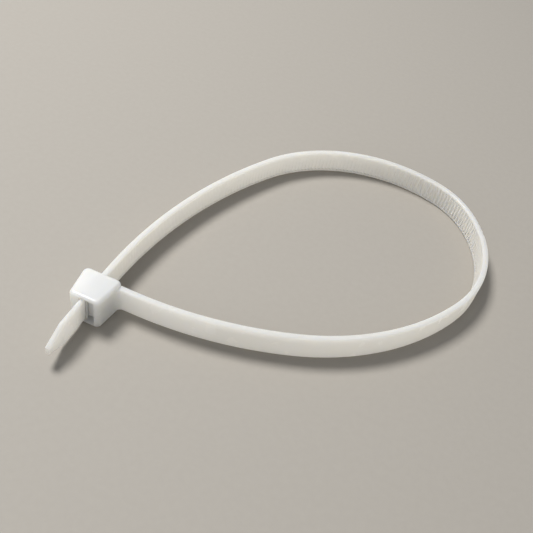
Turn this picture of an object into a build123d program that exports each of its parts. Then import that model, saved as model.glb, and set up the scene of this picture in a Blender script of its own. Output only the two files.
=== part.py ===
from build123d import *
from math import atan2, degrees, radians, sin, sqrt
import os

# A cable tie, closed on itself: one nylon moulding.
# The strap leaves the head along +X, bends round to the left in a loose teardrop, comes back down the Y axis,
# passes through the head, and its tail points to -Y. Z is across the strap's width. The finished tie is then
# laid on its resting surface, with the origin under the middle of its box.

# Strap, mm
strap_width = 4.8
strap_thickness = 1.1
strap_edge_round = 0.3
root_straight = 2.2  # straight strap outside the head, before the first bend
loop_bends = ((72, 22), (44, 42), (24, 68), (16, 30))  # radius and turn in degrees, from the root
far_bend = 3  # the tightest bend, across the loop from the head
slot_straight = 1.0  # straight strap before the slot

# Teeth on the inner face, mm
tooth_pitch = 0.8
tooth_depth = 0.4
tooth_land = 0.12  # flat top of each tooth
rail_width = 0.5  # plain edge on each side of the teeth
plain_root_length = 16.0  # strap without teeth next to the head

# Tail outside the head, mm
tail_length = 9.2
tail_thickness = 0.85
tail_lap = 0.3  # full-thickness strap beyond the last tooth gap, before the thinner tail starts
tail_taper_length = 3.8
tail_tip_width = 1.4
tail_tip_round = 0.5

# Head, mm. The tail comes out at the exit face and the strap goes in at the entry face.
head_length = 6.3
exit_left_wall = 1.85
exit_right_wall = 0.85
entry_left_wall = 2.65
entry_right_wall = 1.75
head_side_wall = 0.4
head_corner_round = 0.95
head_edge_round = 0.65

# Slot and pawl, mm
slot_clearance = 0.1
slot_side_clearance = 0.3  # above and below the strap
chamber_width = 1.5  # from the strap's toothed face to the chamber's far wall
chamber_floor = 1.7  # left at the entry side, where the pawl is hinged
pawl_clearance = 0.07
pawl_setback = 0.9  # from the exit face to the pawl's free end
pawl_side_gap = 0.35
pawl_end_width = 1.05
pawl_hinge_thickness = 0.5
pawl_hinge_gap = 0.45
pawl_teeth = 3

# Root of the strap, mm
root_setback = 0.35  # from the head's entry face to the strap's inner face
root_outer_round = 1.2

half_width = strap_width / 2
half_thickness = strap_thickness / 2
slot_left = -half_thickness - slot_clearance
chamber_right = half_thickness + chamber_width
chamber_end = head_length - chamber_floor
slot_height = strap_width + 2 * slot_side_clearance
head_width = slot_height + 2 * head_side_wall
exit_left = slot_left - exit_left_wall
exit_right = chamber_right + exit_right_wall
entry_left = slot_left - entry_left_wall
entry_right = chamber_right + entry_right_wall
root_inner_y = head_length - root_setback
root_outer_y = root_inner_y - strap_thickness
root_y = root_inner_y - half_thickness
tail_start_y = pawl_setback - tail_lap


def right_face_x(y):
    return exit_right + (entry_right - exit_right) * y / head_length


first_bend_x = right_face_x(root_y) + root_straight


# Middle line of the strap in plan: the straight root, the chosen bends, and two more bends that bring it down
# on to the slot's axis, whatever the bends before them are.
def bend_between(start, direction, end):
    chord = end - start
    half_turn = direction.get_signed_angle(chord, Vector(0, 0, 1)) % 360
    return chord.length / (2 * sin(radians(half_turn))), 2 * half_turn


def strap_line(bends, offset):
    """The strap's line at an offset to the left of its middle, without the run into the slot."""
    runs = [Line((chamber_right, root_y + offset), (first_bend_x, root_y + offset))]
    for bend_radius, bend_turn in bends:
        runs.append(JernArc(runs[-1] @ 1, runs[-1] % 1, bend_radius - offset, bend_turn))
    return runs


with BuildLine() as open_line:
    open_runs = strap_line(loop_bends, 0)
bends_end = open_runs[-1] @ 1
bends_direction = open_runs[-1] % 1
slot_direction = Vector(0, -1)
slot_run_start = Vector(0, head_length + slot_straight)
gap = slot_run_start - bends_end
both_directions = bends_direction + slot_direction
spread = 2 - 2 * bends_direction.dot(slot_direction)
reach = (sqrt(gap.dot(both_directions) ** 2 + spread * gap.dot(gap)) - gap.dot(both_directions)) / spread
meeting_point = (bends_end + bends_direction * reach + slot_run_start - slot_direction * reach) / 2
first_closing_bend = bend_between(bends_end, bends_direction, meeting_point)
meeting_direction = bends_direction.rotate(Axis.Z, first_closing_bend[1])
last_closing_bend = bend_between(meeting_point, meeting_direction, slot_run_start)
all_bends = loop_bends + (first_closing_bend, last_closing_bend)

with BuildLine() as middle_line:
    middle_runs = strap_line(all_bends, 0)
    Line(slot_run_start, (0, pawl_setback))
middle_wire = middle_line.wire()
far_point = middle_runs[1 + far_bend] @ 0.5

# Teeth are counted back from the pawl's free end, so that the pawl stands in mesh with them.
pawl_tip_distance = middle_wire.length
toothed_length = pawl_tip_distance - (right_face_x(root_y) - chamber_right) - plain_root_length
tooth_count = int(toothed_length / tooth_pitch)
tooth_places = []
for tooth_number in range(tooth_count):
    distance = pawl_tip_distance - (tooth_number + 1) * tooth_pitch
    spot = middle_wire.position_at(distance, position_mode=PositionMode.LENGTH)
    along = middle_wire.tangent_at(distance, position_mode=PositionMode.LENGTH)
    tooth_places.append(Location((spot.X, spot.Y, 0), (0, 0, degrees(atan2(along.Y, along.X)))))

# Strap: a band standing on its edge, with long edges rounded, flared where it meets the head, and cut with
# teeth.
with BuildPart() as strap:
    with BuildSketch() as strap_plan:
        with BuildLine():
            inner_runs = strap_line(all_bends, half_thickness)
            outer_runs = strap_line(all_bends, -half_thickness)
            Line(inner_runs[0] @ 0, outer_runs[0] @ 0)
            Polyline(
                inner_runs[-1] @ 1,
                (half_thickness, tail_start_y),
                (-half_thickness, tail_start_y),
                outer_runs[-1] @ 1,
            )
        make_face()
        flare_start_y = root_outer_y - 1.5 * root_outer_round
        with BuildLine():
            Polyline(
                (chamber_right, flare_start_y),
                (right_face_x(flare_start_y), flare_start_y),
                (right_face_x(root_y), root_y),
                (chamber_right, root_y),
                close=True,
            )
        make_face()
        outer_corner = strap_plan.vertices().sort_by_distance((right_face_x(root_outer_y), root_outer_y))[0]
        fillet(outer_corner, root_outer_round)
    extrude(amount=half_width, both=True)
    for side in (-half_width, half_width):
        long_edges = strap.edges().sort_by_distance((far_point.X, far_point.Y, side))[:2]
        fillet(long_edges, strap_edge_round)
    with BuildSketch() as tooth_gaps:
        with Locations(*tooth_places):
            Polygon(
                (tooth_land, half_thickness),
                (tooth_pitch, half_thickness - tooth_depth),
                (tooth_pitch, half_thickness + tooth_depth),
                (tooth_land, half_thickness + tooth_depth),
                align=None,
            )
    extrude(amount=half_width - rail_width, both=True, mode=Mode.SUBTRACT)

# Tail: plain, a little thinner than the strap, level with its outer face, and drawn in to a rounded tip.
with BuildPart() as tail:
    with BuildSketch(Plane.YZ.offset(-half_thickness)) as tail_outline:
        taper_start = tail_taper_length - tail_length
        with BuildLine():
            Polyline(
                (tail_start_y, half_width),
                (taper_start, half_width),
                (-tail_length, tail_tip_width / 2),
                (-tail_length, -tail_tip_width / 2),
                (taper_start, -half_width),
                (tail_start_y, -half_width),
                close=True,
            )
        make_face()
        fillet(tail_outline.vertices().group_by(Axis.Y)[0], tail_tip_round)
    extrude(amount=tail_thickness)
    joint_edges = tail.faces().sort_by(Axis.Y)[-1].edges()
    fillet(tail.faces().filter_by(Axis.X).edges() - joint_edges, strap_edge_round)

# Head: a soft-cornered block with the slot, the pawl's chamber open at the exit face, and the pawl on its
# hinge.
with BuildPart() as head:
    with BuildSketch() as head_plan:
        with BuildLine():
            Polyline(
                (exit_left, 0),
                (exit_right, 0),
                (entry_right, head_length),
                (entry_left, head_length),
                close=True,
            )
        make_face()
        fillet(head_plan.vertices(), head_corner_round)
    extrude(amount=head_width / 2, both=True)
    fillet(head.faces().filter_by(Axis.Z).edges(), head_edge_round)
    with BuildSketch() as slot_plan:
        with BuildLine():
            Polyline(
                (slot_left, -head_length),
                (chamber_right, -head_length),
                (chamber_right, chamber_end),
                (half_thickness + slot_clearance, chamber_end),
                (half_thickness + slot_clearance, 2 * head_length),
                (slot_left, 2 * head_length),
                close=True,
            )
        make_face()
    extrude(amount=slot_height / 2, both=True, mode=Mode.SUBTRACT)
    with BuildSketch() as pawl_plan:
        pawl_face = half_thickness + pawl_clearance
        hinge_left = pawl_face + pawl_hinge_gap
        with BuildLine():
            Polyline(
                (pawl_face, pawl_setback),
                (pawl_face + pawl_end_width, pawl_setback),
                (hinge_left + pawl_hinge_thickness, chamber_end),
                (hinge_left + pawl_hinge_thickness, chamber_end + pawl_clearance),
                (hinge_left, chamber_end + pawl_clearance),
                (hinge_left, chamber_end),
                (pawl_face, pawl_setback + pawl_teeth * tooth_pitch),
                close=True,
            )
        make_face()
        for tooth_number in range(pawl_teeth):
            tooth_start_y = pawl_setback + tooth_number * tooth_pitch
            with BuildLine():
                Polyline(
                    (pawl_face, tooth_start_y + pawl_clearance),
                    (pawl_face, tooth_start_y + tooth_pitch - tooth_land),
                    (pawl_face - tooth_depth + pawl_clearance, tooth_start_y + pawl_clearance),
                    close=True,
                )
            make_face()
    extrude(amount=half_width - rail_width - pawl_side_gap / 2, both=True)

with BuildPart() as moulding:
    add(head.part)
    add(strap.part)
    add(tail.part)

# The head is wider than the strap, so the tie rests on the head and on the far side of the loop, a little
# tilted.
rest_tilt = degrees(atan2((head_width - strap_width) / 2, far_point.length))
tilted = moulding.part.rotate(Axis((0, 0, 0), (-far_point.Y, far_point.X, 0)), rest_tilt)
tilted_box = tilted.bounding_box()
foot = Vector(tilted_box.center().X, tilted_box.center().Y, tilted_box.min.Z)
with BuildPart() as cable_tie:
    add(tilted.moved(Location(-foot)))
cable_tie.part.label = "cable_tie"

os.makedirs("parts", exist_ok=True)
export_step(cable_tie.part, "parts/cable_tie.step")
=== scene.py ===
import bpy
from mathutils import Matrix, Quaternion, Vector

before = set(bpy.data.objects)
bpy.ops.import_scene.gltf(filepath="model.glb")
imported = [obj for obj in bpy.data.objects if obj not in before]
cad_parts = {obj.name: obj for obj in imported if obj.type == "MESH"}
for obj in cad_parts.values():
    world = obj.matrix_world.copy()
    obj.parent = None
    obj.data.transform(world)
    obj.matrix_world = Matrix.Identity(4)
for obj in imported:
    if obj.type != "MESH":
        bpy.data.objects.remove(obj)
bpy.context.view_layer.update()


def linear(hex_colour):
    """An sRGB hex colour as linear RGBA."""
    shares = [int(hex_colour[i : i + 2], 16) / 255 for i in (1, 3, 5)]
    return [c / 12.92 if c <= 0.04045 else ((c + 0.055) / 1.055) ** 2.4 for c in shares] + [1.0]


def add_node(tree, kind, inputs=None, **settings):
    """A shader node with its settings, and its inputs given as values or as other nodes' outputs."""
    made = tree.nodes.new(kind)
    for name, value in settings.items():
        setattr(made, name, value)
    for name, value in (inputs or {}).items():
        if isinstance(value, bpy.types.NodeSocket):
            tree.links.new(value, made.inputs[name])
        else:
            made.inputs[name].default_value = value
    return made


# Natural nylon 6/6, injection moulded in one shot and left unpigmented, so it is milky and lets light
# through. The clouding is the crystalline structure of the plastic, and the faint relief is the mould's fine
# spark finish.
# The thin strap and tail let more light through than the thick head does.
nylon = bpy.data.materials.new("natural_nylon_66")
nylon.use_nodes = True
tree = nylon.node_tree
tree.nodes.clear()
place = add_node(tree, "ShaderNodeTexCoord").outputs["Object"]
clouds = add_node(
    tree, "ShaderNodeTexNoise", {"Vector": place, "Scale": 260.0, "Detail": 3.0, "Roughness": 0.55}
)
milk = add_node(
    tree,
    "ShaderNodeMix",
    {"Factor": clouds.outputs["Fac"], "A": linear("#eff1f0"), "B": linear("#f8f8f7")},
    data_type="RGBA",
)
sheen = add_node(
    tree,
    "ShaderNodeMapRange",
    {"Value": clouds.outputs["Fac"], "From Min": 0.3, "From Max": 0.7, "To Min": 0.2, "To Max": 0.3},
)
grain = add_node(
    tree, "ShaderNodeTexNoise", {"Vector": place, "Scale": 4200.0, "Detail": 2.0, "Roughness": 0.6}
)
relief = add_node(
    tree, "ShaderNodeBump", {"Height": grain.outputs["Fac"], "Strength": 0.12, "Distance": 0.00003}
)
surface = add_node(
    tree,
    "ShaderNodeBsdfPrincipled",
    {
        "Base Color": milk.outputs["Result"],
        "Roughness": sheen.outputs["Result"],
        "Normal": relief.outputs["Normal"],
        "IOR": 1.53,
        "Subsurface Weight": 1.0,
        "Subsurface Radius": (1.0, 0.9, 0.74),
        "Subsurface Scale": 0.0016,
        "Subsurface Anisotropy": 0.0,
    },
)
glow = add_node(
    tree, "ShaderNodeBsdfTranslucent", {"Color": linear("#fdfaf4"), "Normal": relief.outputs["Normal"]}
)
head_middle = (-0.0276, -0.0248, 0.0031)
from_head = add_node(
    tree, "ShaderNodeVectorMath", {0: place, 1: head_middle}, operation="DISTANCE"
)
thinness = add_node(
    tree,
    "ShaderNodeMapRange",
    {
        "Value": from_head.outputs["Value"],
        "From Min": 0.003,
        "From Max": 0.006,
        "To Min": 0.4,
        "To Max": 0.6,
    },
)
body = add_node(
    tree,
    "ShaderNodeMixShader",
    {0: thinness.outputs["Result"], 1: surface.outputs["BSDF"], 2: glow.outputs["BSDF"]},
)
add_node(tree, "ShaderNodeOutputMaterial", {"Surface": body.outputs["Shader"]})

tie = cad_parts["cable_tie"]
tie.data.materials.clear()
tie.data.materials.append(nylon)

# Table top: plain, pale and matt card, with a trace of paper fibre. It lies a hair below the tie, so that the
# surface that the tie rests on doesn't share a plane with it.
table_width = 4.0
table_gap = 0.00002
bpy.ops.mesh.primitive_plane_add(size=table_width, location=(0, 0, -table_gap))
table_top = bpy.context.object
table_top.name = "table_top"
card = bpy.data.materials.new("matt_pale_card")
card.use_nodes = True
tree = card.node_tree
tree.nodes.clear()
place = add_node(tree, "ShaderNodeTexCoord").outputs["Object"]
fibre = add_node(tree, "ShaderNodeTexNoise", {"Vector": place, "Scale": 900.0, "Detail": 4.0})
tone = add_node(
    tree,
    "ShaderNodeMix",
    {"Factor": fibre.outputs["Fac"], "A": linear("#989289"), "B": linear("#9d978e")},
    data_type="RGBA",
)
surface = add_node(
    tree, "ShaderNodeBsdfPrincipled", {"Base Color": tone.outputs["Result"], "Roughness": 0.75}
)
add_node(tree, "ShaderNodeOutputMaterial", {"Surface": surface.outputs["BSDF"]})
table_top.data.materials.append(card)

# Light: a soft key high on the left, a wide weak fill at the front, and an even pale room. Each lamp is a
# disk aimed at the middle of the tie: its name, place, diameter in metres and power in watts.
for name, spot, size, power in (
    ("key", Vector((-0.27, 0.09, 0.50)), 0.2, 3.9),
    ("fill", Vector((-0.05, -0.50, 0.30)), 0.40, 0.6),
):
    lamp = bpy.data.lights.new(name, "AREA")
    lamp.shape = "DISK"
    lamp.size = size
    lamp.energy = power
    stand = bpy.data.objects.new(name, lamp)
    bpy.context.scene.collection.objects.link(stand)
    stand.location = spot
    stand.rotation_mode = "QUATERNION"
    stand.rotation_quaternion = (-spot).to_track_quat("-Z", "Y")
room = bpy.data.worlds.new("pale_room")
room.use_nodes = True
room.node_tree.nodes.clear()
sky = add_node(room.node_tree, "ShaderNodeBackground", {"Color": linear("#e2e8f0"), "Strength": 0.42})
add_node(room.node_tree, "ShaderNodeOutputWorld", {"Surface": sky.outputs["Background"]})
bpy.context.scene.world = room

# Camera: hand-held close above the loop, looking down past the head, and turned a little about its own axis.
camera_place = Vector((0.0139048, -0.0864860, 0.0902615))
camera_aim = Vector((-0.0065177, -0.0008184, 0.0))
camera_roll = 0.21869
camera = bpy.data.objects.new("camera", bpy.data.cameras.new("camera"))
bpy.context.scene.collection.objects.link(camera)
camera.location = camera_place
camera.rotation_mode = "QUATERNION"
level = (camera_aim - camera_place).to_track_quat("-Z", "Y")
camera.rotation_quaternion = level @ Quaternion((0, 0, 1), camera_roll)
camera.data.lens = 46.29
camera.data.clip_start = 0.005
bpy.context.scene.camera = camera
bpy.context.scene.view_settings.view_transform = "Standard"
